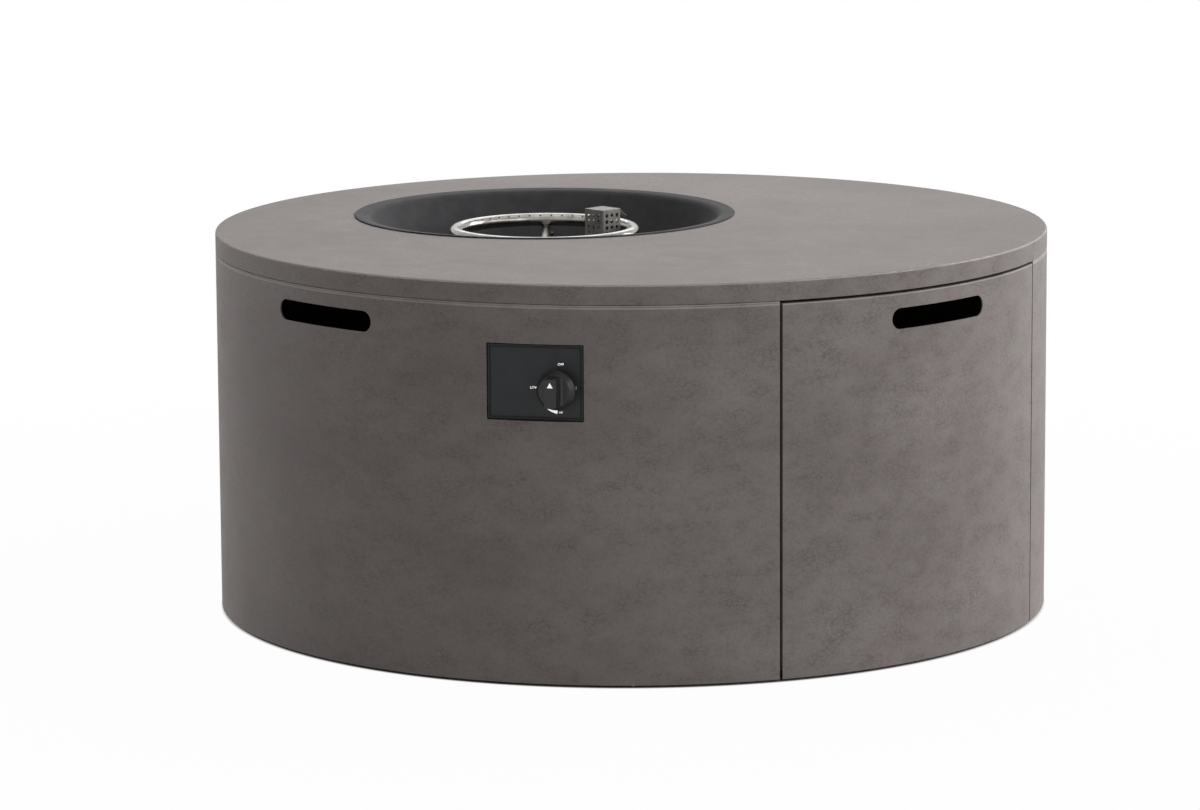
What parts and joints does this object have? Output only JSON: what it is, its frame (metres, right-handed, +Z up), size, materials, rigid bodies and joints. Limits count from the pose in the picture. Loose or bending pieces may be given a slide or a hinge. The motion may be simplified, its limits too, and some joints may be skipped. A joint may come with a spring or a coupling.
{
  "type": "fire pit table",
  "caption": "Round gas fire-pit table: a concrete-effect steel drum with an off-centre fire bowl, ring burner, hinged tank door and push-and-turn gas knob.",
  "frame": {"origin": "On the floor, under the middle of the drum.", "axes": "+Z is up. +X points out through the middle of the tank door. +Y completes a right-handed frame."},
  "size_m": [1.118, 1.118, 0.514],
  "materials": {
    "shell_coat": "textured coat with a grey concrete effect",
    "frame_steel": "satin black powder coat",
    "fastener_zinc": "bright zinc plating",
    "foot_rubber": "matt moulded rubber",
    "hinge_nylon": "natural moulded nylon",
    "magnet_ferrite": "ground ferrite",
    "bowl_enamel": "semi-matt heat-proof black",
    "burner_stainless": "drawn stainless steel",
    "gas_brass": "machined brass",
    "gas_aluminium": "drawn aluminium",
    "electrode_ceramic": "unglazed white ceramic",
    "panel_black": "satin black coat",
    "knob_plastic": "fine matt moulding",
    "igniter_plastic": "matt moulding",
    "lead_copper": "bare copper sheath",
    "lead_silicone": "soft silicone sleeve"
  },
  "bodies": {
    "base": {"table_top": "shell_coat", "left_wall": "shell_coat", "rear_wall": "shell_coat", "right_wall": "shell_coat", "frame_ring": "frame_steel", "top_rib": "frame_steel", "jamb_posts": "frame_steel", "rear_posts": "frame_steel", "base_pan": "frame_steel", "tank_ring": "frame_steel", "heat_shield": "frame_steel", "upper_hinge_bracket": "frame_steel", "lower_hinge_bracket": "frame_steel", "latch_brackets": "frame_steel", "panel_backplate": "frame_steel", "top_screws": "fastener_zinc", "wall_rivets": "fastener_zinc", "foot_screws": "fastener_zinc", "floor_screws": "fastener_zinc", "hinge_screws": "fastener_zinc", "bowl_bolts": "fastener_zinc", "backplate_studs": "fastener_zinc", "panel_nuts": "fastener_zinc", "bonnet_screws": "fastener_zinc", "mixer_nuts": "fastener_zinc", "return_spring": "fastener_zinc", "feet": "foot_rubber", "lead_grommet": "foot_rubber", "upper_hinge_bush": "hinge_nylon", "lower_hinge_bush": "hinge_nylon", "door_magnets": "magnet_ferrite", "burner_bowl": "bowl_enamel", "burner_ring": "burner_stainless", "cross_pipe": "burner_stainless", "mixer_tube": "burner_stainless", "burner_legs": "burner_stainless", "igniter_guard": "burner_stainless", "guard_bracket": "burner_stainless", "electrode_tip": "burner_stainless", "thermocouple_probe": "burner_stainless", "gas_injector": "gas_brass", "valve_bonnet": "gas_brass", "valve_nut": "gas_brass", "valve_body": "gas_brass", "inlet_fitting": "gas_brass", "pipe_nuts": "gas_brass", "gas_pipe": "gas_aluminium", "igniter_electrode": "electrode_ceramic", "control_panel": "panel_black", "piezo_igniter": "igniter_plastic", "thermocouple_lead": "lead_copper", "igniter_lead": "lead_silicone"},
    "door": {"access_door": "shell_coat", "door_ribs": "frame_steel", "upper_pivot_pin": "fastener_zinc", "lower_pivot_pin": "fastener_zinc", "strike_plates": "frame_steel"},
    "push_stage": {"thrust_washer": "gas_brass"},
    "knob": {"control_knob": "knob_plastic", "valve_spindle": "gas_brass"}
  },
  "joints": [
    {"name": "door_hinge", "type": "hinge", "parent": "base", "child": "door", "pos_m": [0.50818, 0.20507, 0], "axis": [0, 0, 1], "range_deg": [0, 90]},
    {"name": "knob_push", "type": "slide", "parent": "base", "child": "push_stage", "axis": [-0.5366, 0.8439, 0], "range_m": [0, 0.004], "stiffness_N_per_m": 1500, "springref_m": -0.002, "deforming": ["return_spring"]},
    {"name": "knob_turn", "type": "hinge", "parent": "push_stage", "child": "knob", "pos_m": [0.32115, -0.45028, 0.3803], "axis": [0.5366, -0.8439, 0], "range_deg": [0, 180]}
  ]
}
